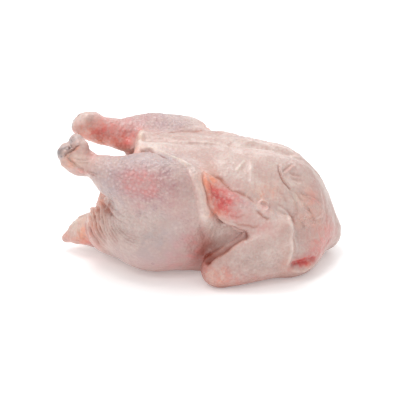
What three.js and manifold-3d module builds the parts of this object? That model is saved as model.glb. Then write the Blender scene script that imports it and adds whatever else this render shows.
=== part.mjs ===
import * as THREE from 'three';
import { mergeVertices } from 'three/addons/utils/BufferGeometryUtils.js';
import Module from 'manifold-3d';

// A whole raw chicken, plucked, drawn and without head, neck or feet, lying on its back.
// Millimetres, +Z up. X runs from the tail to the neck end, the breast faces up and the
// bird's left side faces -Y. The origin is on the table, below the middle of the bird.
//
// The body is one smooth form: every part is a signed distance (negative inside), the parts
// run into each other through soft joins, and the zero surface is then meshed.

// ---------------------------------------------------------------- driving dimensions

const cell = 5.6; // grid spacing of the mesh
const middleX = 1.8; // the parts are placed from the hip line, the finished bird from its middle
const reach = { low: [-129, -86, -12], high: [131, 86, 128] }; // box that holds the bird

const trunk = {
  breastLine: [[-100, 92], [-52, 107], [-38, 106], [0, 102.5], [42, 99], [70, 95.5], [85, 92.5], [102, 88], [121, 78]],
  backLine: [[-100, 0], [-60, -4], [0, -5], [90, -5], [121, -2]],
  halfWidth: [[-100, 36], [-80, 40], [-50, 45], [0, 51], [42, 56], [75, 53], [95, 49], [121, 42]],
  widestHeight: [[-100, 42], [30, 46], [70, 38], [121, 24]],
  squareness: [[-100, 2.5], [20, 2.5], [90, 2.05], [121, 2.0]],
  neckEnd: 120.5,
  neckRoundFrom: 36,
  tailEnd: -90,
  tailRoundFrom: -54,
};
const keelGroove = { depth: 4.6, halfWidth: 7, offset: 1.5 };
const ventCut = { offset: 99.5, slope: 0.45, round: 2.5 }; // slanting cut across the vent
const shoulder = { at: [70, 33, 16], radii: [33, 30, 21] };
const flank = { at: [8, 38, 24], radii: [30, 15, 24] }; // skin between thigh and wing
const rump = { at: [-70, 20, 34], radii: [23, 22, 25] };
const tail = [[-78, 0, 21, 18], [-94, 0, 18.5, 15, 1.1], [-106, 0, 16.5, 11, 1.2], [-116, 0, 13, 5]];
const neckStump = [[92, 0, 20, 22], [107, 0, 16, 13]];
const cavity = [[-84, 0, 88, 20], [-60, 0, 70, 24], [-30, 0, 58, 27], [5, 0, 52, 24], [18, 0, 50, 20]];

// Y is counted outwards from the middle of the bird, so the same numbers serve either side.
const thigh = { at: [-35.5, 33, 40.5], radii: [47, 36, 40] };
const leftLeg = {
  drumstick: [
    [1.5, 50, 68, 15], [-10.5, 50, 76, 19.5], [-23.5, 48, 81.5, 22], [-38.5, 46, 86, 22.3], [-54.5, 43, 85.5, 21],
    [-68.5, 40, 85.5, 19.5], [-78.5, 37, 89.5, 14.5], [-85.5, 34, 92.8, 10], [-91.5, 32, 94.5, 9.7],
  ],
  hock: { at: [-99.5, 30, 96], radii: [12, 10, 12], tilt: 25 },
  condyles: [[[-109.5, 33, 103, 7], [-108.5, 27, 103.5, 7]], [[-101.5, 26, 112, 6.3], [-96.5, 31, 109, 6]]],
};
const rightLeg = {
  drumstick: [
    [5.5, 52, 72, 15], [-6.5, 51, 84, 19.3], [-19.5, 49, 85.5, 21], [-40.5, 45, 91, 19], [-58.5, 39, 94.8, 14.8],
    [-68.5, 36, 96.2, 12.3], [-77.5, 33, 98, 12], [-86.5, 31, 100, 11.3],
  ],
  hock: { at: [-95.5, 30, 104], radii: [12, 10, 12.5], tilt: 15 },
  condyles: [[[-102.5, 33, 108, 7], [-102.5, 27, 107, 7]], [[-95.5, 26, 114, 6], [-89.5, 31, 112, 6]]],
};
const wing = {
  forearmWay: [0.15, 0.93, 0.32], // direction in which the forearm is thinner
  handWay: [0.05, 0.85, 0.5],
  upper: [[74, 44, 20, 17], [60, 50, 17, 16], [33, 60, 14, 14], [17, 62, 14, 13]],
  forearm: [[15, 63, 14.5, 14.5, 1.1], [30, 65, 24, 15.5, 1.3], [46, 64, 34, 15.5, 1.4], [60, 61, 43, 14.5, 1.4],
    [65, 59, 47, 12, 1.3]],
  web: [[18, 64, 14, 13.5, 1.2], [40, 63, 20, 14, 1.4], [60, 59, 24, 14, 1.4], [68, 57, 34, 12, 1.4]],
  hand: [[64, 58, 47, 12, 1.3], [50, 58, 55, 11, 1.4], [36, 56, 63, 11, 1.6], [22, 52, 71, 9, 1.6],
    [10, 46, 80, 6.5, 1.5], [4, 42, 87, 3.2, 1.2]],
  handEdge: [[52, 60, 50, 9, 1.6], [38, 60, 54, 9, 1.7], [24, 57, 61, 8, 1.6], [10, 51, 72, 6, 1.4],
    [4, 44, 83, 3.5, 1.2]],
  thumb: [[56, 58, 59, 5], [50, 57, 63, 4.2], [45, 56, 65, 3]],
};
const legJoin = [[-60, 6], [-15, 15]]; // how softly a leg runs into the trunk, along X
const wingJoin = 4;
const skinColour = 0xe3bfb2;

// ---------------------------------------------------------------- soft joins and profiles

const clamp = THREE.MathUtils.clamp;

function join(a, b, soft) {
  const h = clamp(0.5 + 0.5 * (b - a) / soft, 0, 1);
  return b + (a - b) * h - soft * h * (1 - h);
}

function cut(a, b, soft) {
  return -join(-a, b, soft);
}

// A curve without overshoot through [x, value] keys, level beyond its ends.
function profile(keys) {
  const n = keys.length;
  const rise = keys.slice(1).map((key, i) => (key[1] - keys[i][1]) / (key[0] - keys[i][0]));
  const slope = keys.map((key, i) => {
    if (i === 0) return rise[0];
    if (i === n - 1) return rise[n - 2];
    const product = rise[i - 1] * rise[i];
    return product <= 0 ? 0 : 2 * product / (rise[i - 1] + rise[i]);
  });
  return (x) => {
    const at = clamp(x, keys[0][0], keys[n - 1][0]);
    let i = 0;
    while (i < n - 2 && at > keys[i + 1][0]) i += 1;
    const span = keys[i + 1][0] - keys[i][0];
    const t = (at - keys[i][0]) / span;
    const u = 1 - t;
    return keys[i][1] * (1 + 2 * t) * u * u + slope[i] * span * t * u * u
      + keys[i + 1][1] * t * t * (3 - 2 * t) - slope[i + 1] * span * t * t * u;
  };
}

// ---------------------------------------------------------------- building blocks

function ellipsoid({ at, radii, tilt = 0 }) {
  const c = Math.cos(THREE.MathUtils.degToRad(tilt));
  const s = Math.sin(THREE.MathUtils.degToRad(tilt));
  return (x, y, z) => {
    const dx = x - at[0];
    const dz = z - at[2];
    const u = c * dx + s * dz;
    const v = y - at[1];
    const w = c * dz - s * dx;
    const near = Math.hypot(u / radii[0], v / radii[1], w / radii[2]);
    const steep = Math.hypot(u / radii[0] ** 2, v / radii[1] ** 2, w / radii[2] ** 2) + 1e-6;
    return near * (near - 1) / steep;
  };
}

// A row of balls along a smooth curve through [x, y, z, radius, flatness] stations. The flatness
// says how many times thinner the row is along thinWay.
function limb(stations, thinWay = [0, 0, 1], steps = 40) {
  const points = stations.map((s) => new THREE.Vector3(s[0], s[1], s[2]));
  const sizes = stations.map((s) => new THREE.Vector3(s[3], s[4] ?? 1, 0));
  const path = new THREE.CatmullRomCurve3(points, false, 'catmullrom').getPoints(steps - 1);
  const size = new THREE.CatmullRomCurve3(sizes, false, 'catmullrom').getPoints(steps - 1);
  const way = new THREE.Vector3(...thinWay).normalize();
  return (x, y, z) => {
    let best = Infinity;
    for (let i = 0; i < steps; i += 1) {
      const dx = x - path[i].x;
      const dy = y - path[i].y;
      const dz = z - path[i].z;
      const thin = dx * way.x + dy * way.y + dz * way.z;
      const flat = size[i].y;
      const away = Math.sqrt(dx * dx + dy * dy + dz * dz + thin * thin * (flat * flat - 1)) - size[i].x;
      best = Math.min(best, away);
    }
    return best;
  };
}

// ---------------------------------------------------------------- the parts of the bird

function makeTrunk() {
  const top = profile(trunk.breastLine);
  const bottom = profile(trunk.backLine);
  const half = profile(trunk.halfWidth);
  const middle = profile(trunk.widestHeight);
  const power = profile(trunk.squareness);
  return (x, y, z) => {
    const centre = middle(x);
    const n = power(x);
    const height = z > centre ? top(x) - centre : centre - bottom(x);
    const toNeck = Math.max(0, (x - trunk.neckRoundFrom) / (trunk.neckEnd - trunk.neckRoundFrom)) ** 2.7;
    const toTail = Math.max(0, (trunk.tailRoundFrom - x) / (trunk.tailRoundFrom - trunk.tailEnd)) ** 2.2;
    const across = (Math.abs(y) / half(x)) ** n + (Math.abs(z - centre) / height) ** n;
    const shell = ((across + toNeck + toTail) ** (1 / n) - 1) * Math.min(half(x), 48);
    const fade = clamp((z - 60) / 25, 0, 1) * clamp((x + 75) / 20, 0, 1) * clamp((112 - x) / 45, 0, 1);
    const groove = Math.exp(-(((y - keelGroove.offset) / keelGroove.halfWidth) ** 2));
    return shell + keelGroove.depth * groove * fade;
  };
}

function makeLeg(leg) {
  const upper = ellipsoid(thigh);
  const drumstick = limb(leg.drumstick, undefined, 60);
  const hock = ellipsoid(leg.hock);
  const knobs = leg.condyles.map((stations) => limb(stations, undefined, 4));
  return (x, y, z) => {
    const bone = join(hock(x, y, z), join(knobs[0](x, y, z), knobs[1](x, y, z), 2), 4);
    return join(upper(x, y, z), join(drumstick(x, y, z), bone, 5), 9);
  };
}

function makeWing() {
  const upper = limb(wing.upper, undefined, 30);
  const forearm = limb(wing.forearm, wing.forearmWay);
  const web = limb(wing.web, wing.forearmWay, 30);
  const hand = limb(wing.hand, wing.handWay);
  const handEdge = limb(wing.handEdge, wing.handWay);
  const thumb = limb(wing.thumb, undefined, 8);
  return (x, y, z) => {
    const outer = join(hand(x, y, z), handEdge(x, y, z), 5);
    const folded = join(join(forearm(x, y, z), web(x, y, z), 6), outer, 3);
    return join(join(folded, thumb(x, y, z), 2), upper(x, y, z), 5);
  };
}

function makeBird() {
  const body = makeTrunk();
  const shoulders = ellipsoid(shoulder);
  const rumpHalf = ellipsoid(rump);
  const flankHalf = ellipsoid(flank);
  const tailRow = limb(tail, undefined, 24);
  const neck = limb(neckStump, undefined, 10);
  const hollow = limb(cavity, undefined, 30);
  const legs = [[-1, makeLeg(leftLeg)], [1, makeLeg(rightLeg)]];
  const wingOf = makeWing();
  const legSoft = profile(legJoin);
  const vent = (x, z) => (x - ventCut.slope * z + ventCut.offset) / Math.hypot(1, ventCut.slope);
  return (x, y, z) => {
    let d = cut(body(x, y, z), vent(x, z), ventCut.round);
    d = join(d, join(shoulders(x, -y, z), shoulders(x, y, z), 8), 16);
    d = join(d, join(rumpHalf(x, -y, z), rumpHalf(x, y, z), 12), 8);
    d = join(d, flankHalf(x, Math.abs(y), z), 8);
    d = join(d, tailRow(x, y, z), 6);
    d = join(d, neck(x, y, z), 16);
    for (const [side, leg] of legs) {
      d = join(d, leg(x, side * y, z), legSoft(x));
      d = join(d, wingOf(x, side * y, z), wingJoin);
    }
    return cut(d, hollow(x, y, z), 5);
  };
}

// ---------------------------------------------------------------- meshing

const planes = [[1, 2], [2, 0], [0, 1]]; // the two directions across X, Y and Z

// Where two folds of skin nearly touch, the crack between them is closed: no grid face keeps two
// solid corners that only meet across its diagonal.
function closeCracks(values, count, index) {
  let closed = 1;
  while (closed > 0) {
    closed = 0;
    for (let i = 0; i < count[0] - 1; i += 1) {
      for (let j = 0; j < count[1] - 1; j += 1) {
        for (let k = 0; k < count[2] - 1; k += 1) {
          for (const [u, v] of planes) {
            const ring = [[0, 0], [1, 0], [1, 1], [0, 1]].map(([du, dv]) => {
              const at = [i, j, k];
              at[u] += du;
              at[v] += dv;
              return index(...at);
            });
            const solid = ring.map((n) => values[n] < 0);
            if (solid[0] !== solid[2] || solid[1] !== solid[3] || solid[0] === solid[1]) continue;
            const open = solid[0] ? [ring[1], ring[3]] : [ring[0], ring[2]];
            const thinnest = values[open[0]] < values[open[1]] ? open[0] : open[1];
            values[thinnest] = -0.3;
            closed += 1;
          }
        }
      }
    }
  }
}

// Surface nets: one vertex in each grid cell that the surface crosses, one quad round each grid
// edge that it crosses. Every vertex is then moved along the gradient onto the surface.
function meshSurface(field, low, high, step) {
  const count = low.map((v, i) => Math.ceil((high[i] - v) / step) + 1);
  const [nx, ny, nz] = count;
  const index = (i, j, k) => (i * ny + j) * nz + k;
  const values = new Float64Array(nx * ny * nz);
  for (let i = 0; i < nx; i += 1) {
    for (let j = 0; j < ny; j += 1) {
      for (let k = 0; k < nz; k += 1) {
        values[index(i, j, k)] = field(low[0] + i * step, low[1] + j * step, low[2] + k * step);
      }
    }
  }
  closeCracks(values, count, index);
  const corners = [];
  for (let c = 0; c < 8; c += 1) corners.push([c >> 2, (c >> 1) & 1, c & 1]);
  const edges = [];
  for (let a = 0; a < 8; a += 1) {
    for (const bit of [1, 2, 4]) {
      if (!(a & bit)) edges.push([a, a | bit]);
    }
  }
  const vertexOf = new Int32Array(nx * ny * nz).fill(-1);
  const positions = [];
  const slopeStep = 0.5;
  for (let i = 0; i < nx - 1; i += 1) {
    for (let j = 0; j < ny - 1; j += 1) {
      for (let k = 0; k < nz - 1; k += 1) {
        const v = corners.map(([a, b, c]) => values[index(i + a, j + b, k + c)]);
        const sum = new THREE.Vector3();
        let crossings = 0;
        for (const [a, b] of edges) {
          if ((v[a] < 0) === (v[b] < 0)) continue;
          const t = v[a] / (v[a] - v[b]);
          sum.x += corners[a][0] + t * (corners[b][0] - corners[a][0]);
          sum.y += corners[a][1] + t * (corners[b][1] - corners[a][1]);
          sum.z += corners[a][2] + t * (corners[b][2] - corners[a][2]);
          crossings += 1;
        }
        if (crossings === 0) continue;
        sum.divideScalar(crossings);
        const p = new THREE.Vector3(low[0] + (i + sum.x) * step, low[1] + (j + sum.y) * step,
          low[2] + (k + sum.z) * step);
        for (let pass = 0; pass < 3; pass += 1) {
          const g = new THREE.Vector3(
            field(p.x + slopeStep, p.y, p.z) - field(p.x - slopeStep, p.y, p.z),
            field(p.x, p.y + slopeStep, p.z) - field(p.x, p.y - slopeStep, p.z),
            field(p.x, p.y, p.z + slopeStep) - field(p.x, p.y, p.z - slopeStep),
          ).divideScalar(2 * slopeStep);
          const move = clamp(field(p.x, p.y, p.z) / Math.max(g.lengthSq(), 0.25), -step / 4, step / 4);
          p.addScaledVector(g, -move);
        }
        vertexOf[index(i, j, k)] = positions.length / 3;
        positions.push(p.x, p.y, p.z);
      }
    }
  }
  const triangles = [];
  for (let i = 1; i < nx - 1; i += 1) {
    for (let j = 1; j < ny - 1; j += 1) {
      for (let k = 1; k < nz - 1; k += 1) {
        const here = values[index(i, j, k)] < 0;
        for (let axis = 0; axis < 3; axis += 1) {
          const next = [i, j, k];
          next[axis] += 1;
          if (here === values[index(...next)] < 0) continue;
          const [u, v] = planes[axis];
          const ring = [[-1, -1], [0, -1], [0, 0], [-1, 0]].map(([du, dv]) => {
            const at = [i, j, k];
            at[u] += du;
            at[v] += dv;
            return vertexOf[index(...at)];
          });
          if (!here) ring.reverse();
          triangles.push(...splitQuad(ring, positions));
        }
      }
    }
  }
  const geometry = new THREE.BufferGeometry();
  geometry.setAttribute('position', new THREE.Float32BufferAttribute(positions, 3));
  geometry.setIndex(triangles);
  return geometry;
}

// A quad is split along its shorter diagonal.
function splitQuad([a, b, c, d], positions) {
  const gap = (p, q) => Math.hypot(...[0, 1, 2].map((n) => positions[3 * p + n] - positions[3 * q + n]));
  return gap(a, c) <= gap(b, d) ? [a, b, c, a, c, d] : [a, b, d, b, c, d];
}

// ---------------------------------------------------------------- assembly

const wasm = await Module();
wasm.setup();

function toSolid(geometry) {
  const merged = geometry.clone();
  merged.deleteAttribute('normal');
  merged.deleteAttribute('uv');
  const plain = mergeVertices(merged, 1e-4);
  return new wasm.Manifold(new wasm.Mesh({
    numProp: 3,
    vertProperties: new Float32Array(plain.attributes.position.array),
    triVerts: new Uint32Array(plain.index.array),
  }));
}

function toGeometry(solid) {
  const { vertProperties, triVerts } = solid.getMesh();
  const geometry = new THREE.BufferGeometry();
  geometry.setAttribute('position', new THREE.BufferAttribute(vertProperties, 3));
  geometry.setIndex(new THREE.BufferAttribute(triVerts, 1));
  geometry.computeVertexNormals();
  return geometry;
}

// The weight of the bird presses its back, shoulders and elbows flat against the table. Vertices
// that lie almost on the table are laid on it first, so that the cut leaves no slivers.
const surface = meshSurface(makeBird(), reach.low, reach.high, cell);
const heights = surface.attributes.position;
for (let i = 0; i < heights.count; i += 1) {
  if (Math.abs(heights.getZ(i)) < cell / 4) heights.setZ(i, 0);
}
const table = new THREE.BoxGeometry(400, 300, 40);
table.translate(0, 0, -20);
const bird = toSolid(surface).subtract(toSolid(table));

const skin = new THREE.MeshStandardMaterial({ color: skinColour, roughness: 0.45, metalness: 0 });
const chicken = new THREE.Mesh(toGeometry(bird), skin);
chicken.name = 'chicken';
chicken.position.x = -middleX;

const model = new THREE.Group();
model.name = 'whole_raw_chicken';
model.add(chicken);

export default model;
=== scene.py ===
import math
import bpy
import numpy as np
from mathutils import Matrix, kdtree


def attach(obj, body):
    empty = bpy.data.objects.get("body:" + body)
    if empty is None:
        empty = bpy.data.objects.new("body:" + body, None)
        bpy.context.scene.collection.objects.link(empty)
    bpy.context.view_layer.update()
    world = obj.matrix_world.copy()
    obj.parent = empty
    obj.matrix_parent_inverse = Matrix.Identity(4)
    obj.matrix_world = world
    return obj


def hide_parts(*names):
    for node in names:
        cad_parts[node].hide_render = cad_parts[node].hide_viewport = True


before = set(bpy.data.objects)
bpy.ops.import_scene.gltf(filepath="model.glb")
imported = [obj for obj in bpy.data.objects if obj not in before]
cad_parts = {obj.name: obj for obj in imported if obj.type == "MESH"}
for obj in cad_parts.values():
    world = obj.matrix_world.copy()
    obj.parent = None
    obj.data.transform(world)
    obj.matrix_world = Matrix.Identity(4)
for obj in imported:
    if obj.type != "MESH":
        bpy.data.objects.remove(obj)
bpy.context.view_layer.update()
print("frame loaded")

mm = 0.001  # the bird's shape is worked out in millimetres
middleX = 1.8  # the parts are placed from the hip line, the bird's origin is its middle


# soft joins and profiles

def softJoin(a, b, soft):
    h = np.clip(0.5 + 0.5 * (b - a) / soft, 0, 1)
    return b + (a - b) * h - soft * h * (1 - h)


def softCut(a, b, soft):
    return -softJoin(-a, b, soft)


def profile(keys, x):
    # a curve without overshoot through (x, value) keys, level beyond its ends
    at = np.array([k[0] for k in keys], float)
    value = np.array([k[1] for k in keys], float)
    rise = np.diff(value) / np.diff(at)
    slope = np.concatenate([rise[:1], rise])
    for i in range(1, len(at) - 1):
        product = rise[i - 1] * rise[i]
        slope[i] = 0 if product <= 0 else 2 * product / (rise[i - 1] + rise[i])
    x = np.clip(x, at[0], at[-1])
    i = np.clip(np.searchsorted(at, x) - 1, 0, len(at) - 2)
    span = at[i + 1] - at[i]
    t = (x - at[i]) / span
    u = 1 - t
    return (value[i] * (1 + 2 * t) * u * u + slope[i] * span * t * u * u
            + value[i + 1] * t * t * (3 - 2 * t) - slope[i + 1] * span * t * t * u)


def smoothPath(points, count):
    # Catmull-Rom through rows of numbers
    p = np.array(points, float)
    p = np.vstack([2 * p[0] - p[1], p, 2 * p[-1] - p[-2]])
    rows = []
    for s in np.linspace(0, len(points) - 1, count):
        i = min(int(s), len(points) - 2)
        t = s - i
        a, b, c, d = p[i:i + 4]
        rows.append(0.5 * (2 * b + (c - a) * t + (2 * a - 5 * b + 4 * c - d) * t * t
                           + (3 * b - a - 3 * c + d) * t ** 3))
    return np.array(rows)


# the grid that the bird is worked out on

class Grid:
    def __init__(self, low, high, step):
        self.low = np.array(low, float)
        self.step = step
        self.count = np.ceil((np.array(high) - self.low) / step).astype(int) + 1
        self.axes = [(self.low[i] + step * np.arange(self.count[i])).astype(np.float32) for i in range(3)]

    def window(self, low, high):
        # the part of the grid inside a box: slices and sparse coordinates
        cuts = []
        for i in range(3):
            first = max(0, int((low[i] - self.low[i]) / self.step))
            last = min(self.count[i], int((high[i] - self.low[i]) / self.step) + 2)
            cuts.append(slice(first, last))
        xyz = np.meshgrid(*[self.axes[i][cuts[i]] for i in range(3)], indexing="ij", sparse=True)
        return tuple(cuts), xyz

    def whole(self):
        return self.window(self.low, self.low + self.step * (self.count + 1))


def ellipsoid(xyz, at, radii, tilt=0):
    c, s = math.cos(math.radians(tilt)), math.sin(math.radians(tilt))
    dx, dy, dz = (xyz[i] - at[i] for i in range(3))
    u, v, w = c * dx + s * dz, dy, c * dz - s * dx
    near = np.sqrt((u / radii[0]) ** 2 + (v / radii[1]) ** 2 + (w / radii[2]) ** 2)
    steep = np.sqrt((u / radii[0] ** 2) ** 2 + (v / radii[1] ** 2) ** 2 + (w / radii[2] ** 2) ** 2)
    return near * (near - 1) / (steep + 1e-6)


def limb(xyz, stations, thinWay=(0, 0, 1), steps=40):
    # a row of balls through (x, y, z, radius, flatness), thinner along thinWay by the flatness
    rows = [tuple(s) + (1,) * (5 - len(s)) for s in stations]
    way = np.array(thinWay, float)
    way /= np.linalg.norm(way)
    best = None
    for px, py, pz, radius, flat in smoothPath(rows, steps):
        dx, dy, dz = xyz[0] - px, xyz[1] - py, xyz[2] - pz
        away = dx * dx + dy * dy + dz * dz
        if flat != 1:
            thin = dx * way[0] + dy * way[1] + dz * way[2]
            away = away + thin * thin * (flat * flat - 1)
        away = np.sqrt(away) - radius
        best = away if best is None else np.minimum(best, away)
    return best


# the parts of the bird, lying on its back: X to the neck, Z up through the breast, and Y counted
# outwards, so that the same numbers serve both sides

trunk = {
    "breastLine": [(-100, 92), (-52, 107), (-38, 106), (0, 102.5), (42, 99.5), (70, 97), (85, 94.5),
                   (102, 89), (121, 79)],
    "backLine": [(-100, 0), (-60, -4), (0, -5), (90, -5), (121, -2)],
    "halfWidth": [(-100, 36), (-80, 40), (-50, 45), (0, 51), (42, 56), (75, 53), (95, 49), (121, 42)],
    "widestHeight": [(-100, 42), (30, 46), (70, 38), (121, 24)],
    "squareness": [(-100, 2.5), (20, 2.5), (90, 2.05), (121, 2.0)],
    "neckEnd": (36, 117.3, 2.8),  # where the rounding starts, where it ends, how square
    "tailEnd": (-54, -90, 2.2),
    "fullness": 48,  # turns how far outside a spot is into millimetres
    "keelGroove": (4.6, 7, 1.5),  # depth, half width, offset to the right
    "grooveFade": ((60, 85), (-75, -55), (112, 67)),  # from where to where: up, forward, back
    "ventCut": (99.5, 0.45, 2.5),  # offset, slope, edge rounding
    "shoulder": ((70, 33, 16), (33, 30, 21)),
    "rump": ((-73, 21, 33), (24, 22, 25), (6, 0, -3)),  # the last is how far the right one is moved
    "flank": ((8, 38, 24), (30, 15, 24)),
    "tail": [(-78, 0, 20, 18), (-92, 0, 20.5, 16, 1.1), (-102, 0, 18.5, 12, 1.1), (-110, 0, 15, 7.8, 1.15),
             (-116.5, 0, 12, 4.5)],
    "farFold": [(4, 31, 95, 5), (12, 29, 95.5, 5), (20, 28, 95.5, 4.5), (29, 26, 95, 3)],
    "neckStump": [(92, 0, 20, 22), (107, 0, 16, 13)],
    "cavity": [(-84, 0, 88, 20), (-60, 0, 70, 24), (-30, 0, 58, 27), (5, 0, 52, 24), (18, 0, 50, 20)],
}


def makeTrunk(xyz):
    t = trunk
    x, y, z = xyz
    middle, power, half = (profile(t[k], x) for k in ("widestHeight", "squareness", "halfWidth"))
    height = np.where(z > middle, profile(t["breastLine"], x) - middle, middle - profile(t["backLine"], x))
    rounding = 0
    for start, end, square in (t["neckEnd"], t["tailEnd"]):
        rounding = rounding + np.maximum(0, (x - start) / (end - start)) ** square
    across = (np.abs(y) / half) ** power + (np.abs(z - middle) / height) ** power
    shell = ((across + rounding) ** (1 / power) - 1) * np.minimum(half, t["fullness"])
    fade = 1
    for along, (start, whole) in zip((z, x, x), t["grooveFade"]):
        fade = fade * np.clip((along - start) / (whole - start), 0, 1)
    depth, wide, offset = t["keelGroove"]
    return shell + depth * fade * np.exp(-((y - offset) / wide) ** 2)


legs = {
    "thigh": ((-35.5, 33, 40.5), (47, 36, 40)),
    "kneeSoft": [(-72, 8), (-45, 20)],  # how softly drumstick and thigh run together, along X
    "left": {
        "drumstick": [(1.5, 50, 68, 15), (-10.5, 50, 76, 19.5), (-23.5, 48, 81.5, 22), (-38.5, 46, 86, 22.3),
                      (-54.5, 43, 85.5, 20.5), (-67, 40, 86, 18), (-78, 37, 90.5, 13),
                      (-85.5, 34, 92.8, 10), (-91.5, 32, 94.5, 9.7)],
        "hock": ((-99.5, 30, 96), (12, 10, 12), 25),
        "condyles": [[(-109.5, 33, 104, 6.8), (-108.5, 27, 104, 6.8), (-108, 34, 97.5, 6)],
                     [(-101.5, 26, 112, 6), (-96.5, 31, 109, 6)]],
        "flesh": [(-70, 26, 84, 6), (-60, 28, 82, 6)],
    },
    "right": {
        "drumstick": [(4, 52, 71, 15), (-8, 51, 83, 18.8), (-19.5, 49, 85.5, 21), (-40.5, 45, 91, 19),
                      (-58.5, 39, 94.8, 14.8), (-68.5, 36, 96.2, 12.3), (-77.5, 33, 98, 12),
                      (-86.5, 31, 100, 11.3)],
        "hock": ((-96, 30, 103.5), (12, 10, 11.8), 15),
        "condyles": [[(-104, 33, 105.5, 7), (-104, 27, 105, 7)],
                     [(-97, 26, 113, 5.8), (-92, 31, 110.5, 5.5)]],
        "flesh": [(-74, 26, 93, 6), (-64, 25, 89, 6.5), (-55, 26, 86.5, 8)],  # loose meat on the inner side
    },
}


def makeLeg(xyz, leg):
    knobs = [limb(xyz, stations, steps=4) for stations in leg["condyles"]]
    bone = softJoin(ellipsoid(xyz, *leg["hock"]), softJoin(*knobs, 2), 4)
    lower = softJoin(limb(xyz, leg["drumstick"], steps=60), bone, 5)
    lower = softJoin(lower, limb(xyz, leg["flesh"], steps=12), 4)
    return softJoin(ellipsoid(xyz, *legs["thigh"]), lower, profile(legs["kneeSoft"], xyz[0]))


wing = {
    "forearmWay": (0.15, 0.93, 0.32),
    "handWay": (0.05, 0.85, 0.5),
    "upper": [(74, 44, 20, 17), (60, 50, 17, 16), (33, 60, 14, 14), (17, 62, 14, 13)],
    "forearm": [(15, 63, 14.5, 14.5, 1.1), (30, 65, 24, 15.5, 1.3), (46, 64, 34, 15.5, 1.4),
                (60, 61, 43, 14.5, 1.4), (65, 59, 47, 12, 1.3)],
    "web": [(18, 64, 14, 13.5, 1.2), (40, 63, 20, 14, 1.4), (60, 59, 24, 14, 1.4), (68, 57, 34, 12, 1.4)],
    "hand": [(64, 58, 47, 12, 1.3), (50, 58, 55, 11, 1.4), (36, 56, 63, 11, 1.6), (22, 52, 71, 9, 1.6),
             (10, 46, 80, 6.5, 1.5), (4, 42, 87, 3.2, 1.2)],
    "handEdge": [(52, 60, 50, 9, 1.6), (38, 60, 54, 9, 1.7), (24, 57, 61, 8, 1.6), (10, 51, 72, 6, 1.4),
                 (4, 44, 83, 3.5, 1.2)],
    "thumb": [(56, 58, 59, 5), (50, 57, 63, 4.2), (45, 56, 65, 3)],
}


def makeWing(xyz):
    upper, thumb = limb(xyz, wing["upper"], steps=30), limb(xyz, wing["thumb"], steps=8)
    forearm, web = (limb(xyz, wing[k], wing["forearmWay"]) for k in ("forearm", "web"))
    hand, edge = (limb(xyz, wing[k], wing["handWay"]) for k in ("hand", "handEdge"))
    folded = softJoin(softJoin(forearm, web, 6), softJoin(hand, edge, 5), 3)
    return softJoin(softJoin(folded, thumb, 2), upper, 5)


body = {
    "low": (-129, -86, -8),
    "high": (131, 86, 126),
    "step": 1.6,  # spacing of the mesh, before its finer parts
    "quickStep": 2.2,
    # how softly a swell's left one joins the right one, and both the trunk
    "swells": {"shoulder": (8, 16), "rump": (12, 8), "flank": (8, 8)},
    "middles": {"tail": 6, "neckStump": 16, "farFold": 5},
    "legSoft": [(-60, 6), (-15, 15)],
    "legReach": ((-122, -24, -8), (22, 86, 126)),
    "wingSoft": 3,
    "wingReach": ((-8, 20, -8), (100, 86, 102)),
    "cavitySoft": 5,
    "firstEvening": (0.6, -0.62, 0.6, -0.62),  # of the mesh, and again once it is finer
    "lastEvening": (0.5, -0.52, 0.5, -0.52),
    "finerAlong": (2.0, 1.5),  # a fold's widths and millimetres
}


def makeBird():
    grid = Grid(body["low"], body["high"], body["step"])
    _, xyz = grid.whole()
    x, y, z = xyz
    outwards = (x, np.abs(y), z)
    offset, slope, rounding = trunk["ventCut"]
    d = softCut(makeTrunk(xyz), (x - slope * z + offset) / math.hypot(1, slope), rounding)
    for part, (own, soft) in body["swells"].items():
        at, radii, *moved = trunk[part]
        left = ellipsoid((x, -y, z), at, radii)
        right = ellipsoid(xyz, np.add(at, moved[0] if moved else 0), radii)
        d = softJoin(d, softJoin(left, right, own), soft)
    d = d.astype(np.float32)
    for part, soft in body["middles"].items():
        cuts, near = grid.window(*around(trunk[part]))
        d[cuts] = softJoin(d[cuts], limb(near, trunk[part], steps=24), soft)
    for side, name in ((-1, "left"), (1, "right")):
        cuts, near = grid.window(*mirrored(*body["legReach"], side))
        near = (near[0], near[1] * side, near[2])
        d[cuts] = softJoin(d[cuts], makeLeg(near, legs[name]), profile(body["legSoft"], near[0]))
        cuts, near = grid.window(*mirrored(*body["wingReach"], side))
        near = (near[0], near[1] * side, near[2])
        d[cuts] = softJoin(d[cuts], makeWing(near), body["wingSoft"])
    cuts, near = grid.window(*around(trunk["cavity"]))
    d[cuts] = softCut(d[cuts], limb(near, trunk["cavity"], steps=30), body["cavitySoft"])
    grid.value = np.maximum(d, -z)  # pressed flat on the table
    return grid


def around(stations, margin=20):
    rows = np.array([s[:4] for s in stations], float)
    return (rows[:, :3] - rows[:, 3:] - margin).min(0), (rows[:, :3] + rows[:, 3:] + margin).max(0)


def mirrored(low, high, side):
    if side > 0:
        return low, high
    return (low[0], -high[1], low[2]), (high[0], -low[1], high[2])


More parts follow.
